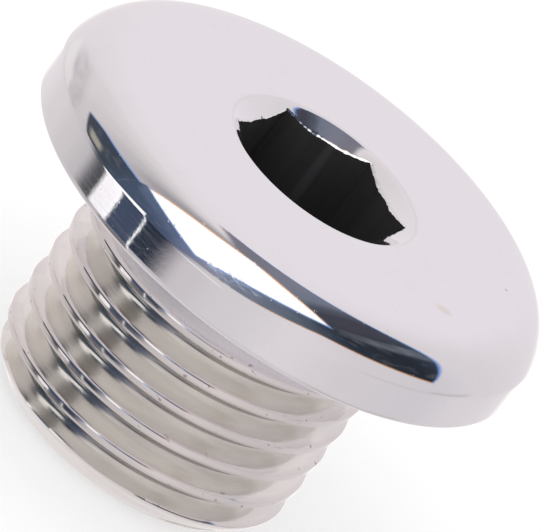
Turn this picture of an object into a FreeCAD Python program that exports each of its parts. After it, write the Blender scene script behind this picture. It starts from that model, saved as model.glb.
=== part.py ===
import FreeCAD, Part
import Sketcher
import math
import os

# Radiator drain plug: one turned piece with a flanged head, a broached hexagon socket
# and a right-hand metric thread. It stands on its shank end, head up, with the origin
# at the centre of the end face. Millimetres.

doc = FreeCAD.newDocument("DrainPlug")

# Driving sizes
sheet = doc.addObject("Spreadsheet::Sheet", "sizes")
SIZES = [
    ("head_diameter", 22.8, "outer diameter of the flanged head"),
    ("head_height", 3.3, "seat face to top face"),
    ("rim_width", 2.15, "how far the rim's curve reaches in over the top face"),
    ("rim_drop", 1.6, "how far the rim's curve reaches down the side"),
    ("seat_edge_break", 0.12, "chamfer on the lower edge of the head"),
    ("shank_length", 11.2, "seat face to shank end"),
    ("thread_diameter", 13.9, "over the crests of the thread"),
    ("thread_pitch", 1.5, "one turn of the thread"),
    ("depth_share", 0.47, "groove depth, crest to root, for one millimetre of pitch"),
    ("root_share", 0.12, "flat at the bottom of the groove, for one millimetre of pitch"),
    ("flank_angle", 60.0, "included angle of the groove"),
    ("thread_lead_in", 1.06, "the groove's centre starts this far below the shank end"),
    ("end_chamfer", 1.2, "45 degree chamfer at the shank end"),
    ("neck_clearance", 0.1, "how far the relief under the head lies below the root"),
    ("neck_width", 1.1, "straight part of the relief"),
    ("socket_width", 7.0, "across the flats of the hexagon"),
    ("socket_depth", 6.0, "top face to the end of the flats"),
    ("pilot_clearance", 0.1, "pilot hole diameter beyond the width across flats"),
    ("pilot_overrun", 0.7, "pilot hole past the end of the flats"),
    ("drill_angle", 118.0, "point of the pilot drill"),
    ("mouth_margin", 0.72, "countersink diameter beyond the hexagon's corners"),
    ("mouth_angle", 120.0, "included angle of the countersink"),
]
for row, (alias, value, note) in enumerate(SIZES, start=1):
    sheet.set("A%d" % row, alias)
    sheet.set("B%d" % row, str(value))
    sheet.set("C%d" % row, note)
    sheet.setAlias("B%d" % row, alias)
doc.recompute()

# Lengths that several features share
CREST = "sizes.thread_diameter / 2"
DEPTH = "sizes.thread_pitch * sizes.depth_share"
ROOT = "sizes.thread_pitch * sizes.root_share"
CORNER = "sizes.socket_width / sqrt(3)"
PILOT = "(sizes.socket_width + sizes.pilot_clearance) / 2"
MOUTH = "(%s + sizes.mouth_margin / 2)" % CORNER
HALF_FLANK = "tan(sizes.flank_angle * 1deg / 2)"

body = doc.addObject("PartDesign::Body", "drain_plug")
body.Label = "drain_plug"


def origin_plane(role):
    for feature in body.Origin.OriginFeatures:
        if feature.Role == role:
            return feature
    raise ValueError(role)


def new_sketch(name, role):
    sketch = body.newObject("Sketcher::SketchObject", name)
    sketch.AttachmentSupport = [(origin_plane(role), "")]
    sketch.MapMode = "FlatFace"
    return sketch


def size(sketch, name, expression, kind, *where):
    """Adds a dimension that follows the sheet."""
    index = sketch.addConstraint(Sketcher.Constraint(kind, *where))
    sketch.renameConstraint(index, name)
    sketch.setExpression("Constraints." + name, expression)


def polyline(sketch, points):
    """Joins the points with lines, end to end, and returns the lines' indices."""
    lines = []
    for start, end in zip(points[:-1], points[1:]):
        a = FreeCAD.Vector(start[0], start[1], 0)
        b = FreeCAD.Vector(end[0], end[1], 0)
        lines.append(sketch.addGeometry(Part.LineSegment(a, b), False))
    for first, second in zip(lines[:-1], lines[1:]):
        sketch.addConstraint(Sketcher.Constraint("Coincident", first, 2, second, 1))
    return lines


# Half section of the whole turned shape, with its pilot hole, drawn to the right of the
# axis. The starting points are near the real ones and the dimensions then place them.
section = new_sketch("half_section", "XZ_Plane")
outside = polyline(section, [(0, 0), (5.8, 0), (7, 1.2), (7, 9.2), (6.1, 10.1), (6.1, 11.2),
                             (11.3, 11.2), (11.4, 11.3), (11.4, 12.9)])
end_face, chamfer, crest, ramp, neck, seat, edge_break, side = outside
inside = polyline(section, [(9.25, 14.5), (4.4, 14.5), (3.55, 14.0), (3.55, 7.8), (0, 5.7), (0, 0)])
top_face, mouth, pilot, drill_point, axis_line = inside
rim_centre = FreeCAD.Vector(9.25, 12.27, 0)
rim_circle = Part.Circle(rim_centre, FreeCAD.Vector(0, 0, 1), 2.23)
rim = section.addGeometry(Part.ArcOfCircle(rim_circle, math.radians(15), math.radians(90)), False)

section.addConstraint([
    Sketcher.Constraint("Coincident", axis_line, 2, end_face, 1),
    Sketcher.Constraint("Coincident", end_face, 1, -1, 1),
    Sketcher.Constraint("Coincident", rim, 1, side, 2),
    Sketcher.Constraint("Tangent", rim, 2, top_face, 1),
    Sketcher.Constraint("Horizontal", end_face),
    Sketcher.Constraint("Vertical", crest),
    Sketcher.Constraint("Vertical", neck),
    Sketcher.Constraint("Horizontal", seat),
    Sketcher.Constraint("Vertical", side),
    Sketcher.Constraint("Horizontal", top_face),
    Sketcher.Constraint("Vertical", pilot),
    Sketcher.Constraint("Vertical", axis_line),
    # The neck's ramp and the two small chamfers lie at 45 degrees.
    Sketcher.Constraint("Angle", chamfer, math.radians(45)),
    Sketcher.Constraint("Angle", ramp, math.radians(135)),
    Sketcher.Constraint("Angle", edge_break, math.radians(45)),
])
size(section, "thread_radius", CREST, "DistanceX", -1, 1, crest, 1, 6.95)
size(section, "end_chamfer", "sizes.end_chamfer", "DistanceY", end_face, 2, chamfer, 2, 1.2)
size(section, "neck_radius", "%s - %s - sizes.neck_clearance" % (CREST, DEPTH),
     "DistanceX", -1, 1, neck, 1, 6.1)
size(section, "neck_width", "sizes.neck_width", "DistanceY", neck, 1, neck, 2, 1.1)
size(section, "shank_length", "sizes.shank_length", "DistanceY", -1, 1, seat, 1, 11.2)
size(section, "edge_break", "sizes.seat_edge_break", "DistanceY", seat, 2, edge_break, 2, 0.12)
size(section, "head_radius", "sizes.head_diameter / 2", "DistanceX", -1, 1, side, 1, 11.4)
size(section, "head_height", "sizes.head_height", "DistanceY", seat, 2, top_face, 1, 3.3)
size(section, "rim_drop", "sizes.rim_drop", "DistanceY", side, 2, top_face, 1, 1.6)
size(section, "rim_width", "sizes.rim_width", "DistanceX", top_face, 1, side, 2, 2.15)
size(section, "mouth_radius", MOUTH, "DistanceX", -1, 1, top_face, 2, 4.4)
size(section, "pilot_radius", PILOT, "DistanceX", -1, 1, mouth, 2, 3.55)
size(section, "mouth_fall", "(%s - %s) / tan(sizes.mouth_angle * 1deg / 2)" % (MOUTH, PILOT),
     "DistanceY", mouth, 2, mouth, 1, 0.49)
size(section, "pilot_depth", "sizes.socket_depth + sizes.pilot_overrun",
     "DistanceY", pilot, 2, top_face, 2, 6.7)
size(section, "drill_point", "%s / tan(sizes.drill_angle * 1deg / 2)" % PILOT,
     "DistanceY", drill_point, 2, drill_point, 1, 2.1)
doc.recompute()

turned = body.newObject("PartDesign::Revolution", "turned_shape")
turned.Profile = section
turned.ReferenceAxis = (section, ["V_Axis"])
turned.Angle = 360.0
doc.recompute()
turned_volume = turned.Shape.Volume

# Hexagon socket, broached down from the top face. It cuts the countersink in six arcs,
# and the pilot hole, a little wider than the flats, leaves a shallow strip on each one.
hexagon = new_sketch("socket_hexagon", "XY_Plane")
hexagon.setExpression("AttachmentOffset.Base.z", "sizes.shank_length + sizes.head_height")
corners = []
for k in range(6):
    turn = math.radians(60 * k)
    corners.append((4.04 * math.cos(turn), 4.04 * math.sin(turn)))
sides = polyline(hexagon, corners + corners[:1])
round_corners = Part.Circle(FreeCAD.Vector(0, 0, 0), FreeCAD.Vector(0, 0, 1), 4.04)
corner_circle = hexagon.addGeometry(round_corners, True)
hexagon.addConstraint(Sketcher.Constraint("Coincident", sides[-1], 2, sides[0], 1))
hexagon.addConstraint(Sketcher.Constraint("Coincident", corner_circle, 3, -1, 1))
hexagon.addConstraint(Sketcher.Constraint("PointOnObject", sides[0], 1, -1))
for line in sides:
    hexagon.addConstraint(Sketcher.Constraint("PointOnObject", line, 1, corner_circle))
for line in sides[1:]:
    hexagon.addConstraint(Sketcher.Constraint("Equal", sides[0], line))
size(hexagon, "corner_radius", CORNER, "Radius", corner_circle, 4.04)
doc.recompute()

socket = body.newObject("PartDesign::Pocket", "socket")
socket.Profile = hexagon
socket.setExpression("Length", "sizes.socket_depth")
doc.recompute()
socket_volume = socket.Shape.Volume

# Thread groove: a 60 degree vee with a narrow flat at its root, carried up a right-hand
# helix from below the shank end to the relief under the head. What stays between the
# turns is the flat crest.
groove = new_sketch("groove_section", "XZ_Plane")
groove_lines = polyline(groove, [(6.2, -1.15), (7.3, -1.75), (7.3, -0.35), (6.2, -0.97), (6.2, -1.15)])
low_flank, open_side, high_flank, root = groove_lines
groove.addConstraint([
    Sketcher.Constraint("Coincident", root, 2, low_flank, 1),
    Sketcher.Constraint("Vertical", open_side),
    Sketcher.Constraint("Vertical", root),
    Sketcher.Constraint("Equal", low_flank, high_flank),
])
size(groove, "root_radius", "%s - %s" % (CREST, DEPTH), "DistanceX", -1, 1, root, 2, 6.2)
size(groove, "root_width", ROOT, "DistanceY", root, 2, root, 1, 0.18)
size(groove, "flank_reach", "1.4 * %s" % DEPTH, "DistanceX", low_flank, 1, low_flank, 2, 1.05)
size(groove, "open_width", "%s + 2.8 * %s * %s" % (ROOT, DEPTH, HALF_FLANK),
     "DistanceY", open_side, 1, open_side, 2, 1.39)
size(groove, "lead_in", "sizes.thread_lead_in + %s / 2" % ROOT, "DistanceY", root, 2, -1, 1, 1.15)
doc.recompute()

thread = body.newObject("PartDesign::SubtractiveHelix", "thread_groove")
thread.Profile = groove
thread.ReferenceAxis = (groove, ["V_Axis"])
thread.Mode = 0
thread.LeftHanded = False
thread.Reversed = False
thread.setExpression("Pitch", "sizes.thread_pitch")
thread.setExpression("Height", "sizes.shank_length + sizes.thread_lead_in - %s / 2"
                     " - 1.4 * %s * %s - sizes.seat_edge_break / 2" % (ROOT, DEPTH, HALF_FLANK))
body.Tip = thread
doc.recompute()
thread_volume = thread.Shape.Volume


def check(document):
    for item in document.Objects:
        if "Invalid" in item.State or "Error" in item.State:
            raise RuntimeError("%s: %s" % (item.Name, item.State))
    for item in (section, hexagon, groove):
        if item.solve() != 0:
            raise RuntimeError("sketch %s does not solve" % item.Name)


check(doc)
if not socket_volume < turned_volume:
    raise RuntimeError("the socket cuts nothing")
if not thread_volume < socket_volume:
    raise RuntimeError("the thread cuts nothing")

shape = body.Shape
if shape.isNull() or not shape.isValid() or len(shape.Solids) != 1:
    raise RuntimeError("drain_plug is not one valid solid")
print("volume mm3: turned %.1f, with socket %.1f, with thread %.1f"
      % (turned_volume, socket_volume, thread_volume))
print("box", shape.BoundBox)

os.makedirs("parts", exist_ok=True)
shape.exportStep(os.path.join("parts", body.Label + ".step"))
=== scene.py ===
import math
import random

import bmesh
import bpy
from mathutils import Matrix, Vector


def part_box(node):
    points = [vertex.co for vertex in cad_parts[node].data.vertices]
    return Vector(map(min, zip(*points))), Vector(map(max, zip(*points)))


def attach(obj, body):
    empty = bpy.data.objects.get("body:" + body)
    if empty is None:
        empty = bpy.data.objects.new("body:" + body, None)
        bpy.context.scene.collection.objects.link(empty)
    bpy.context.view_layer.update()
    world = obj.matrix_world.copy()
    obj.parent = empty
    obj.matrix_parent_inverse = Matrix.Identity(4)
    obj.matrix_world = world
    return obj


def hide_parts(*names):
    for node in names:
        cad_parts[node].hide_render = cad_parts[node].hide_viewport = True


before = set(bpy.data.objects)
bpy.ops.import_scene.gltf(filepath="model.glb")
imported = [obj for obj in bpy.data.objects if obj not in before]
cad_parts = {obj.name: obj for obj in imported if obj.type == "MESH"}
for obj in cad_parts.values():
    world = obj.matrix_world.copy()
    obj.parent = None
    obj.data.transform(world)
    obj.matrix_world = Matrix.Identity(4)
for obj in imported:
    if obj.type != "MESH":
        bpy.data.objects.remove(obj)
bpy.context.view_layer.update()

# The plug, in millimetres unless a name says otherwise. It stands on its shank end with the
# head up, and one corner of the hexagon socket points along +X.
MM = 0.001
high_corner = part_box("drain_plug")[1]
HEAD_RADIUS = high_corner.x / MM
LENGTH = high_corner.z / MM

HEAD_HEIGHT = 3.3
SEAT = LENGTH - HEAD_HEIGHT
RIM_WIDTH = 2.15
RIM_DROP = 1.6
SEAT_EDGE = 0.12
RIM_CREASE = 3.0

# On the +X side the middles of the groove's turns lie a whole number of pitches from
# GROOVE_START, and the thread's own surface runs from THREAD_LOW to THREAD_HIGH.
PITCH = 1.5
CREST_RADIUS = 6.95
GROOVE_DEPTH = 1.05
ROOT_FLAT = 0.04
FLANK_ANGLE = math.radians(29)
GROOVE_START = -0.97
END_CHAMFER = 1.2
NECK_RADIUS = 6.145
NECK_FILLET = 0.2
NECK_LOW = SEAT - 1.1
CREST_ROUNDING = 0.13
ROOT_ROUNDING = 0.5
LEAD_ROUNDING = 0.65
THREAD_LOW = 0.12
THREAD_HIGH = SEAT - 0.6

SOCKET_FLATS = 7.0
SOCKET_DEPTH = 6.0
PILOT_RADIUS = SOCKET_FLATS / 2 + 0.05
PILOT_DEPTH = SOCKET_DEPTH + 0.7
DRILL_SLOPE = math.tan(math.radians(90 - 118 / 2))
MOUTH_RADIUS = SOCKET_FLATS / math.sqrt(3) + 0.36
MOUTH_LEAN = math.radians(90 - 120 / 2)
MOUTH_SLOPE = math.tan(MOUTH_LEAN)
MOUTH_ROUNDING = 0.5
BURR_WIDTH = 0.06
BURR_SLOPE = 1.15

# How finely the surfaces are divided. The columns are a multiple of twelve, so that the
# socket's corners and the middles of its flats each lie on one. The seat's rings are in
# millimetres from the neck, and the socket's are shares of the way inwards or down.
COLUMNS = 300
ROWS_PER_TURN = 32
SEAT_RINGS = (1.6, 3.2)
CONE_SHARES = (0.3, 0.6, 0.85, 1.0)
BURR_SHARES = (0.5, 1.0)
WALL_SHARES = (0.06, 0.15, 0.3, 0.45, 0.6, 0.75, 0.9, 1.0)
# Edges that turn further than this are drawn sharp.
SHARP_ANGLE = math.radians(24)
# The burr's random draws, and the columns from one large nick to the next.
BURR_SEED = 11
NICK_SPACING = 11

# The picture that the camera matches, in pixels: its size, the place of the top face's
# middle and the focal length. DISTANCE is from that middle to the camera.
PICTURE = (540, 532)
FACE_PIXEL = (325.36, 169.85)
FOCAL = 8000.0
DISTANCE = 318.4
VIEW_ELEVATION = math.radians(23.43)
VIEW_AZIMUTH = math.radians(-11.5)
VIEW_ROLL = math.radians(-37.29)
SENSOR = 36.0


# Outline of the turned shape: lists of (radius, height) points.

def arc(centre, radius, start, end, steps):
    """Points on a circle from one angle to another, in degrees, both ends included."""
    points = []
    for k in range(steps + 1):
        angle = math.radians(start + (end - start) * k / steps)
        points.append((centre[0] + radius * math.cos(angle), centre[1] + radius * math.sin(angle)))
    return points


def rounded_corner(before, corner, after, radius, steps):
    """Points that round the corner between two straight stretches of the outline."""
    a, c, b = Vector(before), Vector(corner), Vector(after)
    to_a, to_b = (a - c).normalized(), (b - c).normalized()
    half = to_a.angle(to_b) / 2
    centre = c + (to_a + to_b).normalized() * radius / math.sin(half)
    start = c + to_a * radius / math.tan(half) - centre
    end = c + to_b * radius / math.tan(half) - centre
    turn = start.angle_signed(end)
    points = []
    for k in range(steps + 1):
        points.append(tuple(centre + Matrix.Rotation(-turn * k / steps, 2) @ start))
    return points


def end_outline():
    """The flat shank end, and its rounded corner up to where the thread starts. The lead
    leans 45 degrees there."""
    corner = (CREST_RADIUS - END_CHAMFER, 0.0)
    rounding = THREAD_LOW * math.sqrt(2) / math.tan(math.radians(22.5))
    curve = rounded_corner((0, 0), corner, (corner[0] + 1, 1), rounding, 8)
    flat = [(corner[0] * share, 0.0) for share in (0.12, 0.3, 0.5, 0.7, 0.85)]
    return flat + curve


def head_outline():
    """From the neck over the seat, the side and the rim to the edge of the mouth."""
    rim_radius = (RIM_WIDTH ** 2 + RIM_DROP ** 2) / (2 * RIM_DROP)
    rim_centre = (HEAD_RADIUS - RIM_WIDTH, LENGTH - rim_radius)
    rim_start = math.degrees(math.acos(RIM_WIDTH / rim_radius))
    rim = arc(rim_centre, rim_radius, rim_start + RIM_CREASE, 90, 26)
    lean = math.radians(rim_start + RIM_CREASE)
    reach = (HEAD_RADIUS - rim[0][0]) / math.sin(lean)
    crease = (HEAD_RADIUS, rim[0][1] - reach * math.cos(lean))
    crease_rounding = reach / math.tan(lean / 2)
    crease_curve = rounded_corner((HEAD_RADIUS, SEAT), crease, rim[0], crease_rounding, 6)
    edge_centre = (HEAD_RADIUS - SEAT_EDGE, SEAT + SEAT_EDGE)
    face_radius = HEAD_RADIUS - RIM_WIDTH
    mouth_low = (MOUTH_RADIUS - 1, LENGTH - MOUTH_SLOPE)
    mouth_curve = rounded_corner((face_radius, LENGTH), (MOUTH_RADIUS, LENGTH), mouth_low,
                                 MOUTH_ROUNDING, 5)
    outline = rounded_corner((NECK_RADIUS, THREAD_HIGH), (NECK_RADIUS, SEAT), (HEAD_RADIUS, SEAT),
                             NECK_FILLET, 4)
    outline += [(NECK_RADIUS + out, SEAT) for out in SEAT_RINGS]
    outline += arc(edge_centre, SEAT_EDGE, -90, 0, 6)
    side_top = crease[1] - reach
    outline += [(HEAD_RADIUS, SEAT + (side_top - SEAT) * k / 6) for k in range(1, 6)]
    outline += crease_curve
    outline += rim[1:]
    outline += [(face_radius - (face_radius - MOUTH_RADIUS) * k / 9, LENGTH) for k in range(1, 9)]
    outline += mouth_curve
    return outline


# The hexagon socket. Its wall is the hexagon or the pilot hole, whichever is wider.

def wall_radius(column):
    """Distance from the axis to the socket's wall at one column."""
    sixth = COLUMNS // 6
    from_corner = (column % sixth) / sixth
    from_flat = math.radians(60) * (from_corner - 0.5)
    return max(SOCKET_FLATS / 2 / math.cos(from_flat), PILOT_RADIUS)


def mouth_height(radius):
    """Height of the countersink's cone at a radius."""
    return LENGTH - (MOUTH_RADIUS - radius) * MOUTH_SLOPE


def burr_widths():
    """How far the torn edge reaches out on the countersink, column by column: uneven, with
    larger nicks evenly spaced, and each column drawn towards its neighbours."""
    draw = random.Random(BURR_SEED)
    rough = [draw.uniform(0.1, 1.6) for _ in range(COLUMNS)]
    for k in range(0, COLUMNS, NICK_SPACING):
        rough[k] *= draw.uniform(1.0, 2.0)
    return [BURR_WIDTH * (rough[k - 1] + 4 * rough[k] + rough[(k + 1) % COLUMNS]) / 6
            for k in range(COLUMNS)]


def socket_rings():
    """Rings of (radius, height) from the mouth's cone down to the drill point."""
    walls = [wall_radius(j) for j in range(COLUMNS)]
    burrs = burr_widths()
    cone_top = MOUTH_RADIUS - MOUTH_ROUNDING * math.tan(MOUTH_LEAN / 2)
    rings = []
    for share in CONE_SHARES:
        radii = [cone_top + (wall + burr - cone_top) * share for wall, burr in zip(walls, burrs)]
        rings.append([(radius, mouth_height(radius)) for radius in radii])
    for share in BURR_SHARES:
        rings.append([(wall + burr * (1 - share), mouth_height(wall + burr) - burr * BURR_SLOPE * share)
                      for wall, burr in zip(walls, burrs)])
    floor = LENGTH - SOCKET_DEPTH
    for share in WALL_SHARES:
        rings.append([(wall, (mouth_height(wall + burr) - burr * BURR_SLOPE) * (1 - share) + floor * share)
                      for wall, burr in zip(walls, burrs)])
    pilot_end = LENGTH - PILOT_DEPTH
    for height in (floor, (floor + pilot_end) / 2, pilot_end):
        rings.append([(PILOT_RADIUS, height)] * COLUMNS)
    for share in (0.75, 0.5, 0.25, 0.08):
        height = pilot_end - PILOT_RADIUS * (1 - share) * DRILL_SLOPE
        rings.append([(PILOT_RADIUS * share, height)] * COLUMNS)
    return rings


def add_ring(mesh, ring):
    """Adds one closed ring of points, one for each column."""
    points = []
    for j, (radius, height) in enumerate(ring):
        angle = 2 * math.pi * j / COLUMNS
        x, y = radius * math.cos(angle), radius * math.sin(angle)
        points.append(mesh.verts.new((x * MM, y * MM, height * MM)))
    return points


def join_rings(mesh, lower, upper, slot):
    """Fills the band between two rings with one face for each column."""
    for j in range(COLUMNS):
        following = (j + 1) % COLUMNS
        face = mesh.faces.new((lower[j], lower[following], upper[following], upper[j]))
        face.material_index = slot


def close_pole(mesh, ring, height, slot):
    """Closes a ring with a fan to a point on the axis."""
    tip = mesh.verts.new((0, 0, height * MM))
    for j in range(COLUMNS):
        mesh.faces.new((ring[j], ring[(j + 1) % COLUMNS], tip)).material_index = slot


def turned_surfaces(mesh):
    """Adds everything but the thread: shank end, neck, head and socket."""
    lower = [add_ring(mesh, [point] * COLUMNS) for point in end_outline()]
    for first, second in zip(lower[:-1], lower[1:]):
        join_rings(mesh, first, second, THREAD_SLOT)
    close_pole(mesh, lower[0], 0.0, THREAD_SLOT)

    neck = add_ring(mesh, [(NECK_RADIUS, THREAD_HIGH)] * COLUMNS)
    head = [neck] + [add_ring(mesh, [point] * COLUMNS) for point in head_outline()]
    for first, second in zip(head[:-1], head[1:]):
        join_rings(mesh, first, second, HEAD_SLOT)

    socket = [add_ring(mesh, ring) for ring in socket_rings()]
    join_rings(mesh, head[-1], socket[0], HEAD_SLOT)
    plated = len(CONE_SHARES) + len(BURR_SHARES) - 1
    for k, (first, second) in enumerate(zip(socket[:-1], socket[1:])):
        join_rings(mesh, first, second, HEAD_SLOT if k < plated else SOCKET_SLOT)
    tip = LENGTH - PILOT_DEPTH - PILOT_RADIUS * DRILL_SLOPE
    close_pole(mesh, socket[-1], tip, SOCKET_SLOT)


# Node wiring, for the thread's tree, the materials and the studio. A value is a number or
# the output of another node.

def maths(tree, operation, *values):
    """A Math node on one, two or three values."""
    node = tree.nodes.new("ShaderNodeMath")
    node.operation = operation
    for k, value in enumerate(values):
        if isinstance(value, (int, float)):
            node.inputs[k].default_value = value
        else:
            tree.links.new(value, node.inputs[k])
    return node.outputs[0]


def folded(tree, operation, values):
    """One Math operation over any number of values, taken in turn."""
    result = values[0]
    for value in values[1:]:
        result = maths(tree, operation, result, value)
    return result


def total(tree, *values):
    return folded(tree, "ADD", values)


def product(tree, *values):
    return folded(tree, "MULTIPLY", values)


def largest(tree, *values):
    return folded(tree, "MAXIMUM", values)


def scaled(tree, value, low, high):
    """A value from 0 to 1 spread between two others."""
    return total(tree, product(tree, value, high - low), low)


def smooth_step(tree, value, start, end):
    """0 before start and 1 past end, smooth between. Start may be the larger of the two."""
    node = tree.nodes.new("ShaderNodeMapRange")
    node.interpolation_type = "SMOOTHSTEP"
    node.inputs["From Min"].default_value = start
    node.inputs["From Max"].default_value = end
    tree.links.new(value, node.inputs["Value"])
    return node.outputs["Result"]


def mix_colour(tree, share, first, second):
    """The first colour where the share is 0, and the second where it is 1."""
    node = tree.nodes.new("ShaderNodeMix")
    node.data_type = "RGBA"
    tree.links.new(share, node.inputs["Factor"])
    for name, value in (("A", first), ("B", second)):
        socket = next(s for s in node.inputs if s.name == name and s.type == "RGBA")
        if isinstance(value, tuple):
            socket.default_value = (*value, 1)
        else:
            tree.links.new(value, socket)
    return next(s for s in node.outputs if s.type == "RGBA")


def mix_shader(tree, share, first, second):
    """The first shader where the share is 0, and the second where it is 1."""
    node = tree.nodes.new("ShaderNodeMixShader")
    if isinstance(share, float):
        node.inputs["Fac"].default_value = share
    else:
        tree.links.new(share, node.inputs["Fac"])
    tree.links.new(first.outputs[0], node.inputs[1])
    tree.links.new(second.outputs[0], node.inputs[2])
    return node


def thread_radius(step, given, rise, height):
    """The thread's radius at a height: the blank with its lead and its slope to the neck, less
    the groove, and never inside the shank end and the neck that it has to meet."""
    half_pitch = step("DIVIDE", given["Pitch"], 2.0)
    from_groove = step("SUBTRACT", step("SUBTRACT", height, given["Groove Start"]), rise)
    across = step("ABSOLUTE", step("WRAP", from_groove, half_pitch, step("MULTIPLY", half_pitch, -1.0)))
    root = step("SUBTRACT", given["Crest Radius"], given["Groove Depth"])
    beside_root = step("SUBTRACT", across, step("DIVIDE", given["Root Flat"], 2.0))
    flank = step("ADD", root, step("DIVIDE", beside_root, step("TANGENT", given["Flank Angle"])))
    groove = step("SMOOTH_MAX", flank, root, given["Root Rounding"])

    chamfer_foot = step("SUBTRACT", given["Crest Radius"], given["End Chamfer"])
    to_neck = step("SUBTRACT", given["Neck Low"], height)
    slope = step("ADD", given["Neck Radius"], to_neck)
    blank = step("SMOOTH_MIN", given["Crest Radius"], slope, given["Crest Rounding"])
    blank = step("MAXIMUM", blank, given["Neck Radius"])
    blank = step("SMOOTH_MIN", blank, step("ADD", chamfer_foot, height), given["Lead Rounding"])
    radius = step("SMOOTH_MIN", blank, groove, given["Crest Rounding"])

    neck = step("SUBTRACT", given["Neck Radius"], step("MAXIMUM", to_neck, 0.0))
    end_radius = step("ADD", chamfer_foot, given["Low End"])
    end = step("SUBTRACT", end_radius, step("SUBTRACT", height, given["Low End"]))
    return step("MAXIMUM", step("MAXIMUM", radius, neck), end)


def thread_tree(material):
    """A geometry tree that winds the thread: a grid whose rows climb with the helix."""
    tree = bpy.data.node_groups.new("thread_winding", "GeometryNodeTree")
    sockets = tree.interface
    sockets.new_socket("Geometry", in_out="OUTPUT", socket_type="NodeSocketGeometry")
    for name in THREAD_SIZES:
        kind = "NodeSocketInt" if name in ("Columns", "Rows per Turn") else "NodeSocketFloat"
        sockets.new_socket(name, in_out="INPUT", socket_type=kind)
    given = tree.nodes.new("NodeGroupInput").outputs
    result = tree.nodes.new("NodeGroupOutput")

    def step(operation, *values):
        return maths(tree, operation, *values)

    pitch = given["Pitch"]
    low, high = given["Low End"], given["High End"]
    row_step = step("DIVIDE", pitch, given["Rows per Turn"])
    climb = step("ADD", step("SUBTRACT", high, low), pitch)
    rows = step("CEIL", step("SUBTRACT", step("DIVIDE", climb, row_step), ROW_SLACK))

    grid = tree.nodes.new("GeometryNodeMeshGrid")
    grid.inputs["Size X"].default_value = 1.0
    grid.inputs["Size Y"].default_value = 1.0
    tree.links.new(step("ADD", given["Columns"], 1.0), grid.inputs["Vertices X"])
    tree.links.new(step("ADD", rows, 1.0), grid.inputs["Vertices Y"])
    place = tree.nodes.new("ShaderNodeSeparateXYZ")
    tree.links.new(tree.nodes.new("GeometryNodeInputPosition").outputs[0], place.inputs[0])
    turn = step("ADD", place.outputs["X"], 0.5)
    row = step("MULTIPLY", step("ADD", place.outputs["Y"], 0.5), rows)

    rise = step("MULTIPLY", turn, pitch)
    height = step("ADD", step("ADD", step("SUBTRACT", low, pitch), step("MULTIPLY", row, row_step)), rise)
    height = step("MINIMUM", step("MAXIMUM", height, low), high)
    radius = thread_radius(step, given, rise, height)

    angle = step("MULTIPLY", turn, 2 * math.pi)
    point = tree.nodes.new("ShaderNodeCombineXYZ")
    tree.links.new(step("MULTIPLY", radius, step("COSINE", angle)), point.inputs["X"])
    tree.links.new(step("MULTIPLY", radius, step("SINE", angle)), point.inputs["Y"])
    tree.links.new(height, point.inputs["Z"])

    wound = tree.nodes.new("GeometryNodeSetPosition")
    merged = tree.nodes.new("GeometryNodeMergeByDistance")
    merged.inputs["Distance"].default_value = WELD
    real = tree.nodes.new("GeometryNodeRealizeInstances")
    painted = tree.nodes.new("GeometryNodeSetMaterial")
    painted.inputs["Material"].default_value = material
    tree.links.new(grid.outputs["Mesh"], wound.inputs["Geometry"])
    tree.links.new(point.outputs[0], wound.inputs["Position"])
    tree.links.new(wound.outputs[0], merged.inputs[0])
    tree.links.new(merged.outputs[0], real.inputs[0])
    tree.links.new(real.outputs[0], painted.inputs["Geometry"])
    tree.links.new(painted.outputs[0], result.inputs[0])
    return tree


def wound_thread(material):
    """The thread as a plain mesh, open at both ends."""
    tree = thread_tree(material)
    holder = bpy.data.objects.new("thread_holder", bpy.data.meshes.new("thread_holder"))
    bpy.context.scene.collection.objects.link(holder)
    winding = holder.modifiers.new("thread_winding", "NODES")
    winding.node_group = tree
    for item in tree.interface.items_tree:
        if item.in_out == "INPUT":
            winding[item.identifier] = THREAD_SIZES[item.name]
    depsgraph = bpy.context.evaluated_depsgraph_get()
    mesh = bpy.data.meshes.new_from_object(holder.evaluated_get(depsgraph), depsgraph=depsgraph)
    holder.modifiers.remove(winding)
    bpy.data.objects.remove(holder)
    return mesh


# Points nearer to each other than this, in metres, become one.
WELD = 2e-6
# The part of a row by which a whole number of rows may come out too long.
ROW_SLACK = 0.001
THREAD_SIZES = {
    "Columns": COLUMNS,
    "Rows per Turn": ROWS_PER_TURN,
    "Pitch": PITCH * MM,
    "Crest Radius": CREST_RADIUS * MM,
    "Groove Depth": GROOVE_DEPTH * MM,
    "Root Flat": ROOT_FLAT * MM,
    "Flank Angle": FLANK_ANGLE,
    "Groove Start": GROOVE_START * MM,
    "End Chamfer": END_CHAMFER * MM,
    "Neck Radius": NECK_RADIUS * MM,
    "Neck Low": NECK_LOW * MM,
    "Crest Rounding": CREST_ROUNDING * MM,
    "Root Rounding": ROOT_ROUNDING * MM,
    "Lead Rounding": LEAD_ROUNDING * MM,
    "Low End": THREAD_LOW * MM,
    "High End": THREAD_HIGH * MM,
}


# Finishes. Their textures are laid out in millimetres.

def new_finish(name, colour, roughness):
    """A metal finish: its material, tree and Principled shader."""
    material = bpy.data.materials.new(name)
    material.use_nodes = True
    tree = material.node_tree
    shader = tree.nodes["Principled BSDF"]
    shader.inputs["Base Color"].default_value = (*colour, 1)
    shader.inputs["Metallic"].default_value = 1.0
    shader.inputs["Roughness"].default_value = roughness
    return material, tree, shader


def vector_maths(tree, operation, first, second):
    """A Vector Math node. The second vector is a tuple or the output of another node."""
    node = tree.nodes.new("ShaderNodeVectorMath")
    node.operation = operation
    tree.links.new(first, node.inputs[0])
    if isinstance(second, tuple):
        node.inputs[1].default_value = second
    else:
        tree.links.new(second, node.inputs[1])
    return node.outputs[0]


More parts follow.
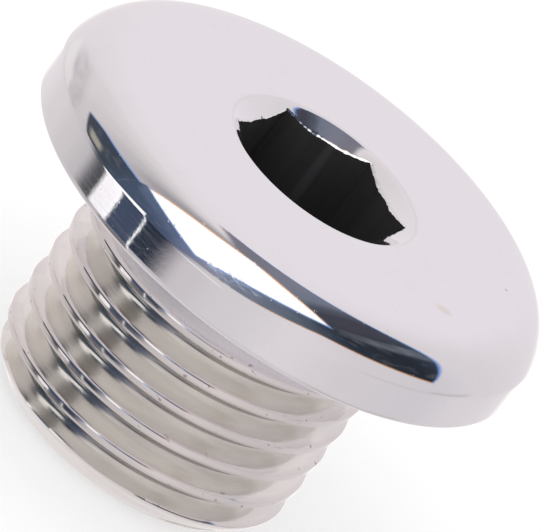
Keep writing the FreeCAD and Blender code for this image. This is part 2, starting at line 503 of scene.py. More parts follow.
def place_on_plug(tree):
    """Where a point lies: the whole vector, and its radius, angle and height."""
    place = tree.nodes.new("ShaderNodeTexCoord").outputs["Object"]
    place = vector_maths(tree, "MULTIPLY", place, (1 / MM, 1 / MM, 1 / MM))
    split = tree.nodes.new("ShaderNodeSeparateXYZ")
    tree.links.new(place, split.inputs[0])
    x, y, height = split.outputs
    radius = maths(tree, "SQRT", total(tree, product(tree, x, x), product(tree, y, y)))
    angle = maths(tree, "ARCTAN2", y, x)
    return place, radius, angle, height


def noise(tree, place, scale, detail=2.0):
    """Noise from 0 to 1. The scale is in cells for each millimetre, or one number per axis."""
    if isinstance(scale, tuple):
        place = vector_maths(tree, "MULTIPLY", place, scale)
        scale = 1.0
    node = tree.nodes.new("ShaderNodeTexNoise")
    node.inputs["Scale"].default_value = scale
    node.inputs["Detail"].default_value = detail
    tree.links.new(place, node.inputs["Vector"])
    return node.outputs["Fac"]


def relief(tree, shader, heights):
    """Bumps on a surface: pairs of a height from 0 to 1 and its size in micrometres."""
    normal = None
    for height, size in heights:
        node = tree.nodes.new("ShaderNodeBump")
        node.inputs["Distance"].default_value = size * 1e-6
        tree.links.new(height, node.inputs["Height"])
        if normal is not None:
            tree.links.new(normal, node.inputs["Normal"])
        normal = node.outputs[0]
    tree.links.new(normal, shader.inputs["Normal"])


def turned_coordinates(tree, radius, angle, height, reach):
    """A vector for marks that run around the axis: no seam, and slow along the turn."""
    node = tree.nodes.new("ShaderNodeCombineXYZ")
    across = product(tree, maths(tree, "COSINE", angle), reach)
    tree.links.new(total(tree, across, radius), node.inputs["X"])
    tree.links.new(product(tree, maths(tree, "SINE", angle), reach), node.inputs["Y"])
    tree.links.new(height, node.inputs["Z"])
    return node.outputs[0]


def patch(tree, place, centre, size):
    """A soft round patch about a point, 1 in the middle."""
    away = vector_maths(tree, "SUBTRACT", place, centre)
    away = vector_maths(tree, "DIVIDE", away, size)
    node = tree.nodes.new("ShaderNodeVectorMath")
    node.operation = "LENGTH"
    tree.links.new(away, node.inputs[0])
    return smooth_step(tree, node.outputs["Value"], 1.0, 0.35)


def torn_edge(tree, radius, height):
    """The burr that the broach tore out of the countersink, just below its cone, where a highlight is
    painted.
    """
    cone = total(tree, product(tree, radius, MOUTH_SLOPE), LENGTH - MOUTH_RADIUS * MOUTH_SLOPE)
    burr_and_highlight = smooth_step(tree, maths(tree, "SUBTRACT", cone, height), 0.004, 0.02)
    return product(tree, burr_and_highlight, smooth_step(tree, radius, MOUTH_RADIUS - 0.1, MOUTH_RADIUS - 0.2))


def polished_chrome():
    """Bright plate over the polished head: a little cloudy, with a few hairlines, pits, one brown
    stain and a dark dot on the face, turning marks on the side, and a painted highlight on the burr."""
    material, tree, shader = new_finish("polished_chrome", CHROME, 0.05)
    place, radius, angle, height = place_on_plug(tree)
    clouds = noise(tree, place, 0.55, 5.0)
    grain = noise(tree, place, 14.0, 3.0)
    pits = smooth_step(tree, noise(tree, place, 5.5, 2.0), 0.69, 0.76)
    on_face = smooth_step(tree, height, LENGTH - 0.03, LENGTH - 0.01)
    scratched = smooth_step(tree, noise(tree, place, 0.4, 0.0), 0.52, 0.6)
    hairs = smooth_step(tree, noise(tree, place, (0.35, 9.0, 0.35), 2.0), 0.68, 0.73)
    hairs = product(tree, hairs, scratched, on_face)
    mouth_edge = maths(tree, "ABSOLUTE", maths(tree, "SUBTRACT", radius, MOUTH_RADIUS))
    mouth_edge = smooth_step(tree, mouth_edge, 0.1, 0.02)

    crease = LENGTH - RIM_DROP
    on_side = product(tree, smooth_step(tree, radius, HEAD_RADIUS - 0.05, HEAD_RADIUS - 0.02),
                      smooth_step(tree, height, crease + 0.02, crease - 0.04))
    around = turned_coordinates(tree, radius, angle, height, 3.0)
    strokes = smooth_step(tree, noise(tree, around, (1.0, 1.0, 9.0), 2.0), 0.5, 0.6)
    strokes = product(tree, strokes, on_side)
    rough_turning = product(tree, noise(tree, place, (4.0, 4.0, 7.0), 3.0), on_side)

    stain = patch(tree, place, *STAIN)
    dot = patch(tree, place, *DARK_DOT)
    haze = smooth_step(tree, noise(tree, place, 3.0, 3.0), 0.45, 0.62)
    haze = product(tree, patch(tree, place, *SIDE_HAZE), haze)
    burr_and_highlight = torn_edge(tree, radius, height)

    dull = total(tree, product(tree, hairs, 0.35), product(tree, pits, 0.25),
                 product(tree, scaled(tree, clouds, -0.25, 0.35), 0.5),
                 product(tree, scaled(tree, grain, -0.5, 0.5), 0.3),
                 product(tree, mouth_edge, 0.3))
    colour = mix_colour(tree, maths(tree, "MAXIMUM", dull, 0.0), CHROME, DULL_CHROME)
    colour = mix_colour(tree, product(tree, stain, 0.28), colour, STAIN_BROWN)
    colour = mix_colour(tree, product(tree, dot, 0.5), colour, DIRT)
    # The burr's near-white colour is a painted highlight.
    colour = mix_colour(tree, burr_and_highlight, colour, BURR_HIGHLIGHT)
    tree.links.new(colour, shader.inputs["Base Color"])
    roughness = total(tree, scaled(tree, clouds, 0.02, 0.07), product(tree, strokes, 0.03),
                      product(tree, maths(tree, "MAXIMUM", haze, burr_and_highlight), 0.12),
                      product(tree, pits, 0.12))
    tree.links.new(roughness, shader.inputs["Roughness"])
    relief(tree, shader, [(noise(tree, place, 0.9, 2.0), 1.0), (grain, 0.35), (pits, 0.8),
                          (rough_turning, 0.9), (haze, 1.5)])
    return material


def thread_chrome():
    """The same plate on the thread, where no wheel has polished it: satin, with fine lines
    along the helix, painted shade in the roots that is darker on one side of the plug, and
    a pale dull band close under the head."""
    material, tree, shader = new_finish("thread_chrome", THREAD_PLATE, 0.2)
    place, radius, angle, height = place_on_plug(tree)
    rise = product(tree, maths(tree, "DIVIDE", angle, 2 * math.pi), PITCH)
    winding = turned_coordinates(tree, radius, angle, maths(tree, "SUBTRACT", height, rise), 2.5)
    lines = noise(tree, winding, (1.2, 1.2, 16.0), 2.0)
    waves = noise(tree, winding, (0.9, 0.9, 5.0), 2.0)
    clouds = noise(tree, place, 0.7, 4.0)
    bands = smooth_step(tree, noise(tree, winding, (0.5, 0.5, 2.2), 4.0), 0.4, 0.62)

    threaded = product(tree, smooth_step(tree, height, 0.5, 0.9),
                       smooth_step(tree, height, NECK_LOW + 0.1, NECK_LOW - 0.3))
    root = CREST_RADIUS - GROOVE_DEPTH
    in_root = smooth_step(tree, radius, root + 0.125, root + 0.1)
    shaded_roots_side = maths(tree, "COSINE", maths(tree, "SUBTRACT", angle, SHADED_ROOTS_SIDE))
    shaded_roots_side = smooth_step(tree, shaded_roots_side, 0.3, 0.85)
    root_shade = product(tree, in_root, scaled(tree, shaded_roots_side, 0.4, 0.6), threaded)
    on_crest = smooth_step(tree, radius, CREST_RADIUS - 0.3, CREST_RADIUS - 0.08)
    specks = smooth_step(tree, noise(tree, place, (3.0, 3.0, 5.0), 3.0), 0.66, 0.72)
    specks = product(tree, specks, on_crest, threaded)
    near_head = smooth_step(tree, height, NECK_LOW - 1.75, NECK_LOW - 1.35)

    colour = mix_colour(tree, scaled(tree, clouds, 0.0, 0.5), THREAD_PLATE, THREAD_CLOUDS)
    colour = mix_colour(tree, product(tree, bands, 0.45), colour, THREAD_BANDS)
    colour = mix_colour(tree, product(tree, near_head, 0.9), colour, COOL_PLATE)
    colour = mix_colour(tree, product(tree, on_crest, 0.4), colour, CREST_PLATE)
    # Painted shade in the thread's roots, darker on one side of the plug.
    colour = mix_colour(tree, root_shade, colour, ROOT_SHADE)
    colour = mix_colour(tree, product(tree, specks, 0.6), colour, BROWN_SPECKS)
    tree.links.new(colour, shader.inputs["Base Color"])
    roughness = total(tree, scaled(tree, clouds, 0.09, 0.18), product(tree, root_shade, 0.1),
                      product(tree, on_crest, -0.05), product(tree, near_head, 0.28))
    tree.links.new(roughness, shader.inputs["Roughness"])
    relief(tree, shader, [(waves, 4.0), (lines, 1.2), (noise(tree, place, 5.0, 2.0), 0.8)])
    return material


def broached_steel():
    """The socket's wall, which the plate hardly reaches: bare steel with broach marks. Its dark
    colour is partly the steel's own and partly painted shade inside the socket, and a paler
    streak on one flat is a painted highlight.
    """
    material, tree, shader = new_finish("broached_steel", SHADED_SOCKET_STEEL, 0.45)
    place = place_on_plug(tree)[0]
    marks = noise(tree, place, (5.0, 5.0, 0.25), 3.0)
    bands = noise(tree, place, (1.1, 1.1, 0.12), 2.0)
    highlight = patch(tree, place, *WALL_HIGHLIGHT)
    colour = mix_colour(tree, bands, SOCKET_SHADE, SHADED_SOCKET_STEEL)
    # A paler bluish streak on one flat of the socket: a painted highlight.
    colour = mix_colour(tree, product(tree, highlight, 0.22), colour, HIGHLIGHT_GREY)
    tree.links.new(colour, shader.inputs["Base Color"])
    shader.inputs["Metallic"].default_value = 0.7
    tree.links.new(scaled(tree, marks, 0.35, 0.6), shader.inputs["Roughness"])
    relief(tree, shader, [(marks, 14.0), (noise(tree, place, 9.0, 2.0), 4.0)])
    return material


CHROME = (0.86, 0.85, 0.87)
DULL_CHROME = (0.70, 0.67, 0.68)
BURR_HIGHLIGHT = (0.97, 0.97, 0.97)
STAIN_BROWN = (0.62, 0.48, 0.34)
DIRT = (0.16, 0.14, 0.14)
THREAD_PLATE = (0.87, 0.85, 0.82)
THREAD_CLOUDS = (0.80, 0.77, 0.72)
THREAD_BANDS = (0.70, 0.68, 0.66)
CREST_PLATE = (0.72, 0.66, 0.67)
COOL_PLATE = (0.95, 0.93, 0.96)
# Painted shade for the thread's roots.
ROOT_SHADE = (0.09, 0.07, 0.065)
BROWN_SPECKS = (0.20, 0.13, 0.12)
# Bare steel, partly darkened as painted shade inside the socket.
SHADED_SOCKET_STEEL = (0.12, 0.12, 0.125)
SOCKET_SHADE = (0.055, 0.05, 0.045)
HIGHLIGHT_GREY = (0.26, 0.28, 0.31)

# Marks, and one painted highlight, that lie at one place: the middle and the half sizes, in millimetres.
STAIN = (6.13, -5.25, LENGTH), (0.55, 0.4, 0.5)
DARK_DOT = (8.76, -0.36, LENGTH), (0.1, 0.1, 0.3)
SIDE_HAZE = (-2.9, -10.8, 13.35), (1.4, 0.7, 0.45)
WALL_HIGHLIGHT = (0.35, 3.5, 12.0), (0.3, 1.2, 3.4)
# The side of the plug where the painted shade in the thread's roots is darker.
SHADED_ROOTS_SIDE = math.radians(-55)

HEAD_SLOT, THREAD_SLOT, SOCKET_SLOT = range(3)


def make_plug():
    """The whole plug as one closed mesh."""
    finishes = [polished_chrome(), thread_chrome(), broached_steel()]
    thread = wound_thread(finishes[THREAD_SLOT])
    mesh = bmesh.new()
    mesh.from_mesh(thread)
    bpy.data.meshes.remove(thread)
    for face in mesh.faces:
        face.material_index = THREAD_SLOT
    turned_surfaces(mesh)
    bmesh.ops.remove_doubles(mesh, verts=mesh.verts, dist=WELD)
    bmesh.ops.dissolve_degenerate(mesh, edges=mesh.edges, dist=WELD / 4)
    bmesh.ops.recalc_face_normals(mesh, faces=mesh.faces)
    open_edges = [edge for edge in mesh.edges if not edge.is_manifold]
    if open_edges:
        raise RuntimeError("the plug's mesh has %d open edges" % len(open_edges))
    data = bpy.data.meshes.new("chrome_drain_plug")
    mesh.to_mesh(data)
    mesh.free()
    for finish in finishes:
        data.materials.append(finish)
    data.shade_smooth()
    data.set_sharp_from_angle(angle=SHARP_ANGLE)
    plug = bpy.data.objects.new("chrome_drain_plug", data)
    bpy.context.scene.collection.objects.link(plug)
    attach(plug, "root")
    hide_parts("drain_plug")
    return plug


# The studio: what the chrome mirrors, the floor, the lamp and the camera. Directions are
# (azimuth, elevation) in degrees as the photographer sees them: azimuth 0 points from the
# plug to the camera and grows to the right.

def towards(azimuth, elevation):
    """The unit vector of a direction in the plug's own frame."""
    a, e = math.radians(azimuth), math.radians(elevation)
    flat = Vector((math.sin(a) * math.cos(e), -math.cos(a) * math.cos(e), math.sin(e)))
    return Matrix.Rotation(VIEW_AZIMUTH, 3, "Z") @ flat


def mirrored(red, green, blue):
    """The light that looks like this 0 to 255 screen colour once the chrome has mirrored it."""
    light = []
    for value, tint in zip((red, green, blue), CHROME):
        share = value / 255
        light.append(((share + 0.055) / 1.055) ** 2.4 / tint)
    return tuple(light)


def edge_normal(first, second, inside):
    """The normal of the plane through two directions, on the side where a third lies."""
    normal = towards(*first).cross(towards(*second)).normalized()
    if normal.dot(inside) < 0:
        normal.negate()
    return normal


def colour_ramp(tree, share, stops):
    """Colours blended between (position, colour) pairs."""
    ramp = tree.nodes.new("ShaderNodeValToRGB")
    points = ramp.color_ramp.elements
    while len(points) < len(stops):
        points.new(0.5)
    for point, (position, colour) in zip(points, stops):
        point.position = position
        point.color = (*colour, 1)
    ramp.color_ramp.interpolation = "EASE"
    tree.links.new(share, ramp.inputs["Fac"])
    return ramp.outputs["Color"]


class Studio:
    """The world's tree, a mirrored ray's direction in it, and shares from 0 to 1 that depend
    on the direction."""

    def __init__(self, tree):
        self.tree = tree
        self.way = tree.nodes.new("ShaderNodeTexCoord").outputs["Generated"]
        self.height = self.along(Vector((0, 0, 1)))
        self.sideways = self.along(towards(90, 0))
        azimuth = maths(tree, "ARCTAN2", self.sideways, self.along(towards(0, 0)))
        self.azimuth = maths(tree, "DEGREES", azimuth)
        mottle = tree.nodes.new("ShaderNodeTexNoise")
        mottle.inputs["Scale"].default_value = 9.0
        mottle.inputs["Detail"].default_value = 3.0
        tree.links.new(self.way, mottle.inputs["Vector"])
        self.mottle = mottle.outputs["Fac"]

    def along(self, axis):
        """How far the direction points along an axis, as a cosine."""
        node = self.tree.nodes.new("ShaderNodeVectorMath")
        node.operation = "DOT_PRODUCT"
        self.tree.links.new(self.way, node.inputs[0])
        node.inputs[1].default_value = axis
        return node.outputs["Value"]

    def step(self, value, start, end):
        return smooth_step(self.tree, value, start, end)

    def both(self, *shares):
        """Where all of the shares hold."""
        return product(self.tree, *shares)

    def either(self, *shares):
        """Where at least one of the shares holds."""
        return largest(self.tree, *shares)

    def above(self, elevation, blur):
        """Above an elevation. The blur, in degrees, is on either side of it."""
        low, high = (math.sin(math.radians(elevation + side * blur)) for side in (-1, 1))
        return self.step(self.height, low, high)

    def beside(self, first, second, inside, softness):
        """The side of a straight edge that a third direction lies on."""
        reach = math.sin(math.radians(softness))
        return self.step(self.along(edge_normal(first, second, inside)), -reach, reach)

    def card(self, corners, softness):
        """Where a flat card with straight edges hangs. Its corners are directions, and softness
        is the blur of its edges in degrees: one number, or one for each edge. It is convex."""
        middle = sum((towards(*corner) for corner in corners), Vector())
        following = corners[1:] + corners[:1]
        blurs = [softness] * len(corners) if isinstance(softness, (int, float)) else softness
        return self.both(*[self.beside(first, second, middle, blur)
                           for first, second, blur in zip(corners, following, blurs)])

    def by_azimuth(self, levels):
        """A colour for each azimuth, blended between (azimuth, screen colour) pairs."""
        share = maths(self.tree, "DIVIDE", total(self.tree, self.azimuth, 180.0), 360.0)
        stops = [((angle + 180) / 360, mirrored(*colour)) for angle, colour in levels]
        return colour_ramp(self.tree, share, stops)

    def painted(self, under, share, colour):
        return mix_colour(self.tree, share, under, colour)


# The pale room: a white cloth all round, a little dimmer beside and behind the camera.
ROOM = [(-180, (226, 220, 226)), (-150, (223, 216, 221)), (-120, (214, 207, 209)),
        (-103, (204, 198, 200)), (-86, (189, 184, 187)), (-72, (178, 173, 177)),
        (-58, (196, 190, 194)), (-20, (198, 192, 196)), (0, (208, 203, 207)), (30, (217, 211, 215)),
        (62, (208, 202, 206)), (92, (203, 199, 204)), (122, (214, 208, 213)), (180, (226, 220, 226))]
# The dark side of the room behind the camera, seen past the lights.
DARK = [(-104, (68, 72, 82)), (-76, (60, 68, 80)), (-56, (70, 82, 104)), (-42, (68, 80, 102)),
        (-33, (74, 84, 110)), (-27, (96, 104, 130)), (-14, (134, 134, 150)), (2, (116, 122, 137)),
        (20, (98, 106, 122)), (36, (78, 87, 102)), (48, (54, 62, 76)), (62, (42, 48, 58)),
        (92, (38, 43, 52)), (112, (50, 60, 73)), (130, (76, 86, 104))]
# The dark side near the floor, where a slit parts two of its cloths.
LOW_DARK = [(-60, (64, 74, 96)), (-47, (62, 72, 94)), (-44, (42, 48, 62)), (-20, (42, 48, 62))]
# The ceiling's grey, from the left of the plug to the right, by the cosine to the right.
CEILING = [(-0.15, (128, 125, 133)), (-0.03, (118, 117, 129)), (0.11, (121, 122, 137)),
           (0.22, (112, 117, 133)), (0.30, (78, 82, 94)), (0.36, (66, 66, 77))]

# Screen colours, to be seen in the chrome.
BLUE_EDGE = (128, 158, 214)
WARM_EDGE = (226, 170, 120)
SMUDGE_GREY = (150, 142, 152)
SHELF_GREY = (150, 155, 165)
BLOTCH_GREY = (150, 150, 150)
LOW_LEFT_GREY = (80, 79, 82)
LOW_CARD_GREY = (104, 98, 97)
SPOT_CREAM = (188, 182, 168)
SPILL_BLUE = (122, 138, 172)
FALL_OFF_GREY = (128, 127, 134)
HAZE_BLUE = (168, 182, 214)
STREAK_MAUVE = (222, 208, 218)

# Light as it comes, before the chrome.
LIGHT = (1.22, 1.22, 1.22)
FLOOR_LIGHT = (0.69, 0.665, 0.665)
FAR_FLOOR = (0.84, 0.80, 0.82)
FAR_EDGE = (1.25, 1.2, 1.12)
LIT_FLOOR = (0.93, 0.90, 0.87)
SHADED_FLOOR = (0.55, 0.52, 0.50)

# The cards: their corners, and the blur of their edges.
SMUDGE = [(-137, 9), (-130, 25), (-106, 12), (-103, -8), (-126, -8)], 6
SHELF = [(62, 57), (118, 50), (112, 41), (66, 51)], (1, 3, 3, 5)
UNDER_BOX = [(-64.5, 43), (54, 52), (72, 20), (60, -60), (-62, -60)], (0.8, 2, 2, 2, 0.8)
FLAG = [(-101, 18), (-92, 28.6), (-78, 33.5), (-63, 36.5), (-63, -4), (-88, 0)], 1.2
FLAG_RIM = [(-101, 19), (-92, 30.4), (-78, 35.6), (-63, 38.6), (-63, -4), (-86, 4)], 1.6
LOW_LEFT = [(-83, 3), (-61, 3), (-61, -60), (-75.6, -60)], (2, 2, 1, 6.5)
LOW_CARD = [(-66, -26), (-45, -26), (-44, -41), (-66, -41)], (1, 1, 2.5, 2)
SPOT = [(-92, 13), (-82, 15.5), (-79, 8), (-88, 5.5)], 2.2
EDGE_SPILL = [(-66, 45), (-60, 30), (-24, 10), (-16, 17)], (1, 8, 6, 3)
STRIP = [(-40, -21), (-38, -13), (-6, -13), (-4, -19)], 2
LIT_SIDE = [(-143, -7), (-143, 5), (-120, 3), (-116, -9)], 3
SHADED_SIDE = [(48, -28), (94, -28), (94, -48), (48, -48)], (1.5, 3, 3, 8)
SHADED_FAR = [(60, -20.5), (95, -19), (95, -6), (60, -6)], (1, 4, 3, 6)
SHADED_CORNER = [(93, -13), (114, -12), (114, -1), (93, -1)], (2, 3, 2, 3)
BOX_HAZE = [(-18, 24), (-12, 18), (14, 35), (8, 41)], 2
BOX_BLUE_RIM = [(0, 88), (-63.5, 42.5), (-20.5, 20.3), (55.5, 52.5)], 1.0
BOX_WARM_RIM = [(180, 89.4), (-63, 43.6), (-20, 24), (54.5, 55.5)], 0.8
SOFTBOX = [(0, 88), (-62, 42.8), (-20.5, 22.5), (53.5, 54.2)], 0.6
WINDOW = [(-73, -60), (-73, -17), (-60.5, -13), (-60.5, -60)], (1.5, 1.0, 0.8, 1.0)
LEDGE = [(-74, -20), (-74, -15), (-46, 6), (-45.5, -12)], 1.0
SLIT = [(-46.3, -60), (-46.3, 8), (-45.3, 8), (-45.3, -60)], 0.25

# The dark side's edges: the ceiling's at the left, and where it meets the far cloth.
CEILING_EDGE = [(-154, 74), (-96, 84.5)]
FAR_CLOTH_EDGE = [(-165, 70.5), (176, 65.5), (134, 54.4), (113.5, 41), (99.5, 10.5)]
# The edge of the cloth in front: it rises from the left to a peak and falls to the right.
CLOTH_RISE = [(-28.5, -24.5), (-16.5, 11), (10.4, 21.5), (43, 33.7)]
CLOTH_FALL = [(44, 33.6), (98, 11.5)]
FRINGE_RISE = [(10.4, 22.8), (43, 35.2)]
FRINGE_FALL = [(44, 35.2), (98, 13.2)]
BOX_LEFT_EDGE = [(0, 88), (-64.5, 43.5)]


def pale_room(studio):
    """The white cloth all round, with the lit floor below it and beyond the plug."""
    both, step, height = studio.both, studio.step, studio.height
    behind = maths(studio.tree, "ABSOLUTE", studio.azimuth)
    room = studio.by_azimuth(ROOM)
    room = studio.painted(room, step(height, -0.55, -0.8), FAR_FLOOR)
    near_floor = both(step(behind, 125.0, 95.0), step(height, -0.43, -0.53), step(height, -0.95, -0.8))
    room = studio.painted(room, near_floor, FLOOR_LIGHT)
    far_light = both(step(behind, 152.0, 168.0), step(height, -0.02, -0.3), step(height, -0.6, -0.45))
    room = studio.painted(room, far_light, FAR_EDGE)
    smudge = both(studio.card(*SMUDGE), scaled(studio.tree, studio.mottle, 0.0, 0.6))
    return studio.painted(room, smudge, mirrored(*SMUDGE_GREY))


def dark_side(studio):
    """The dark cloths, a little blotchy, with a paler shelf, and the grey ceiling above them."""
    both, mottle = studio.both, studio.mottle
    dark = studio.by_azimuth(DARK)
    shelf = both(studio.card(*SHELF), scaled(studio.tree, mottle, 0.15, 0.4))
    dark = studio.painted(dark, shelf, mirrored(*SHELF_GREY))
    dark = studio.painted(dark, both(studio.step(mottle, 0.5, 0.75), 0.16), mirrored(*BLOTCH_GREY))
    stops = [((1 + side) / 2, mirrored(*colour)) for side, colour in CEILING]
    ceiling = colour_ramp(studio.tree, scaled(studio.tree, studio.sideways, 0.5, 1.0), stops)
    return studio.painted(dark, studio.above(57, 7), ceiling)


def right_of_box(studio, drop, turn):
    """Right of the ceiling's left edge and this side of the far cloth's edge. The far edge is
    dropped and the left edge turned by so many degrees."""
    inside = towards(60, 50)
    left_edge = [(azimuth + turn, elevation) for azimuth, elevation in CEILING_EDGE]
    far_edge = [(azimuth, elevation - drop) for azimuth, elevation in FAR_CLOTH_EDGE]
    shares = [studio.beside(*left_edge, inside, 1.6)]
    shares += [studio.beside(first, second, inside, 0.9) for first, second in zip(far_edge, far_edge[1:])]
    return studio.both(*shares, studio.above(-6, 5))


def dark_covers(studio, colour, low_fade):
    """Hangs the dark side right of the softbox, below it and low at the left, and a flag at
    the left. The right part and the flag have a blue rim. Returns the colour, and where it
    is dark."""
    both, either, painted = studio.both, studio.either, studio.painted
    under = both(studio.card(*UNDER_BOX), low_fade)
    low_left = both(studio.card(*LOW_LEFT), low_fade)
    covered = either(right_of_box(studio, 0, 0), under, studio.card(*FLAG), low_left)
    rim = either(right_of_box(studio, 2.6, -9), studio.card(*FLAG_RIM))
    colour = painted(colour, rim, mirrored(*BLUE_EDGE))
    colour = painted(colour, covered, dark_side(studio))
    low = studio.step(studio.height, -0.15, -0.3)
    colour = painted(colour, both(under, low), studio.by_azimuth(LOW_DARK))
    colour = painted(colour, both(low_left, low), mirrored(*LOW_LEFT_GREY))
    colour = painted(colour, both(studio.card(*LOW_CARD), 0.88), mirrored(*LOW_CARD_GREY))
    colour = painted(colour, both(studio.card(*SPOT), 0.65), mirrored(*SPOT_CREAM))
    colour = painted(colour, both(studio.card(*EDGE_SPILL), covered, 0.25), mirrored(*SPILL_BLUE))
    return colour, covered


def left_of_box(studio, colour, covered):
    """The grey fall-off above the softbox at the left."""
    from_box = studio.along(edge_normal(*BOX_LEFT_EDGE, towards(-120, 60)))
    fall_off = studio.both(studio.step(from_box, 0.24, -0.02), studio.above(48, 14),
                           studio.step(covered, 0.6, 0.2), studio.step(studio.sideways, 0.04, -0.12))
    return studio.painted(colour, studio.both(fall_off, 0.65), mirrored(*FALL_OFF_GREY))


def front_cloth(studio, colour, room, covered):
    """The cloth in front, with a warm rim along its top and a bright strip that the thread's
    roots and the head's crease catch."""
    both, either, step = studio.both, studio.either, studio.step
    foot, left, ridge, peak = CLOTH_RISE
    over, below = towards(0, 60), towards(60, -20)
    above_left = both(studio.beside(left, ridge, over, 1.6), studio.beside(ridge, peak, over, 0.8))
    clear = either(studio.beside(foot, left, towards(-60, 0), 7.0), above_left)
    cloth = both(maths(studio.tree, "SUBTRACT", 1.0, clear), studio.beside(*CLOTH_FALL, below, 0.6))
    colour = studio.painted(colour, cloth, room)

    falling = both(studio.beside(*FRINGE_FALL, below, 0.8), step(studio.azimuth, 40.0, 48.0))
    rising = both(studio.beside(*FRINGE_RISE, below, 0.8),
                  step(studio.azimuth, 46.0, 40.0), step(studio.azimuth, -14.0, 10.0))
    edge_only = both(step(cloth, 0.9, 0.3), covered, studio.above(8, 3))
    colour = studio.painted(colour, both(either(falling, rising), edge_only, 0.6), mirrored(*WARM_EDGE))
    return studio.painted(colour, both(studio.card(*STRIP), cloth, 0.45), LIGHT)


def floor_patches(studio, colour):
    """Light and shade on the floor at either side, which only the thread's flanks catch."""
    colour = studio.painted(colour, studio.both(studio.card(*LIT_SIDE), 0.7), LIT_FLOOR)
    shades = [studio.both(studio.card(*card), share)
              for card, share in ((SHADED_SIDE, 0.8), (SHADED_FAR, 0.3), (SHADED_CORNER, 0.6))]
    return studio.painted(colour, studio.either(*shades), SHADED_FLOOR)


def softbox(studio, colour):
    """The softbox, with the lens's colour fringes, and the haze along its lower edge."""
    haze = studio.both(studio.card(*BOX_HAZE), studio.step(studio.mottle, 0.4, 0.6))
    colour = studio.painted(colour, haze, mirrored(*HAZE_BLUE))
    colour = studio.painted(colour, studio.card(*BOX_BLUE_RIM), mirrored(*BLUE_EDGE))
    past_top = scaled(studio.tree, studio.above(87, 1.2), 1.0, 0.3)
    warm_rim = studio.both(studio.card(*BOX_WARM_RIM), past_top)
    colour = studio.painted(colour, warm_rim, mirrored(*WARM_EDGE))
    return studio.painted(colour, studio.card(*SOFTBOX), LIGHT)


def window_and_slit(studio, colour, low_fade):
    """A lit window low at the left, with its ledge and a few streaks, and a slit beside it."""
    window = studio.both(studio.card(*WINDOW), low_fade)
    slit = studio.both(studio.card(*SLIT), studio.above(-38, 3))
    colour = studio.painted(colour, studio.either(window, studio.card(*LEDGE), slit), LIGHT)
    streaks = studio.both(studio.step(studio.mottle, 0.4, 0.65), studio.step(studio.height, -0.3, -0.38))
    return studio.painted(colour, studio.both(window, streaks, 0.3), mirrored(*STREAK_MAUVE))


def studio_light(tree):
    """The colour that comes from every direction, as the chrome mirrors it."""
    studio = Studio(tree)
    room = pale_room(studio)
    low_fade = studio.either(studio.above(-25.8, 1.4), studio.both(studio.above(-31, 5), 0.12))
    colour, covered = dark_covers(studio, room, low_fade)
    colour = left_of_box(studio, colour, covered)
    colour = front_cloth(studio, colour, room, covered)
    colour = floor_patches(studio, colour)
    colour = softbox(studio, colour)
    return window_and_slit(studio, colour, low_fade)


def studio_world():
    """The world: the studio where the chrome mirrors it, white where the camera sees it, and
    an even sky for the rest."""
    world = bpy.data.worlds.new("studio")
    bpy.context.scene.world = world
    world.use_nodes = True
    tree = world.node_tree
    tree.nodes.clear()
    path = tree.nodes.new("ShaderNodeLightPath")
    mirror = tree.nodes.new("ShaderNodeBackground")
    tree.links.new(studio_light(tree), mirror.inputs["Color"])
    sky = tree.nodes.new("ShaderNodeBackground")
    sky.inputs["Color"].default_value = (1, 1, 1, 1)
    sky.inputs["Strength"].default_value = SKY_LEVEL
    backdrop = tree.nodes.new("ShaderNodeBackground")
    backdrop.inputs["Color"].default_value = (1, 1, 1, 1)
    indirect = mix_shader(tree, path.outputs["Is Glossy Ray"], sky, mirror)
    direct = maths(tree, "MAXIMUM", path.outputs["Is Camera Ray"], path.outputs["Is Transmission Ray"])
    seen = mix_shader(tree, direct, indirect, backdrop)
    output = tree.nodes.new("ShaderNodeOutputWorld")
    tree.links.new(seen.outputs[0], output.inputs["Surface"])


# How bright the sky, the lamp and the floor's own glow are, where the lamp hangs and how
# wide it spreads, how much of the floor is glow, and the floor's size in metres.
SKY_LEVEL = 1.0
KEY_LEVEL = 0.35
KEY_PLACE = (-60, 55)
KEY_SPREAD = math.radians(60)
FLOOR_GLOW = 1.04
GLOW_SHARE = 0.5
FLOOR_SIZE = 3.0


def key_lamp():
    """A broad soft lamp from the upper left that the chrome doesn't mirror. It lays the
    shadow on the floor."""
    data = bpy.data.lights.new("key_lamp", "SUN")
    data.energy = KEY_LEVEL
    data.angle = KEY_SPREAD
    lamp = bpy.data.objects.new("key_lamp", data)
    lamp.visible_glossy = False
    bpy.context.scene.collection.objects.link(lamp)
    lamp.rotation_euler = towards(*KEY_PLACE).to_track_quat("Z", "Y").to_euler()


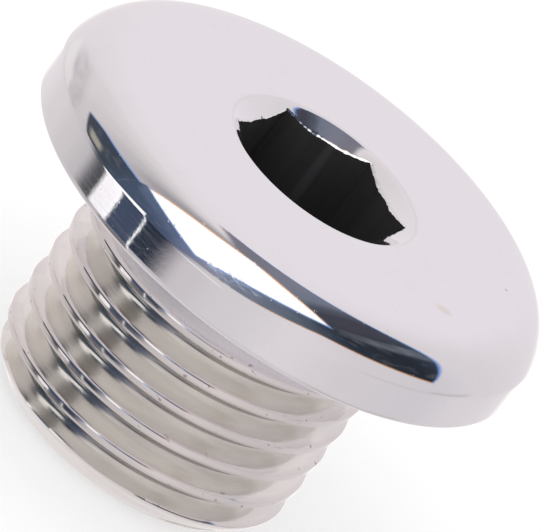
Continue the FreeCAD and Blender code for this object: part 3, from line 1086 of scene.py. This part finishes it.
def pale_floor():
    """A white floor that shows the plug's soft shadow to the camera. Mirrored rays pass it."""
    bpy.ops.mesh.primitive_plane_add(size=FLOOR_SIZE)
    floor = bpy.context.object
    floor.name = "floor"
    material = bpy.data.materials.new("pale_floor")
    material.use_nodes = True
    tree = material.node_tree
    tree.nodes.clear()
    matt = tree.nodes.new("ShaderNodeBsdfDiffuse")
    matt.inputs["Color"].default_value = (1, 1, 1, 1)
    glow = tree.nodes.new("ShaderNodeEmission")
    glow.inputs["Strength"].default_value = FLOOR_GLOW
    surface = mix_shader(tree, GLOW_SHARE, matt, glow)
    path = tree.nodes.new("ShaderNodeLightPath")
    back = tree.nodes.new("ShaderNodeNewGeometry")
    hidden = maths(tree, "MAXIMUM", path.outputs["Is Glossy Ray"], back.outputs["Backfacing"])
    clear = tree.nodes.new("ShaderNodeBsdfTransparent")
    chosen = mix_shader(tree, hidden, surface, clear)
    output = tree.nodes.new("ShaderNodeOutputMaterial")
    tree.links.new(chosen.outputs[0], output.inputs["Surface"])
    floor.data.materials.append(material)


def photo_camera():
    """The camera that sees the plug as the photograph does."""
    back = Vector((0, -math.cos(VIEW_ELEVATION), math.sin(VIEW_ELEVATION)))
    right = Vector((1, 0, 0))
    up = back.cross(right)
    upright = Matrix((right, up, back)).transposed()
    rolled = upright @ Matrix.Rotation(VIEW_ROLL, 3, "Z").transposed()
    across = (FACE_PIXEL[0] - PICTURE[0] / 2) / FOCAL
    upwards = (PICTURE[1] / 2 - FACE_PIXEL[1]) / FOCAL
    offset = Vector((across, upwards, -1)).normalized()
    aimed = rolled @ Vector((0, 0, -1)).rotation_difference(offset).to_matrix().transposed()
    round_plug = Matrix.Rotation(VIEW_AZIMUTH, 3, "Z")

    data = bpy.data.cameras.new("photo_camera")
    data.sensor_width = SENSOR
    data.lens = FOCAL * SENSOR / PICTURE[0]
    data.clip_start = 0.01
    data.clip_end = 100.0
    camera = bpy.data.objects.new("photo_camera", data)
    bpy.context.scene.collection.objects.link(camera)
    place = round_plug @ back * DISTANCE * MM + Vector((0, 0, LENGTH * MM))
    camera.matrix_world = Matrix.Translation(place) @ (round_plug @ aimed).to_4x4()
    bpy.context.scene.camera = camera


make_plug()
studio_world()
key_lamp()
pale_floor()
photo_camera()
bpy.context.scene.view_settings.view_transform = "Standard"
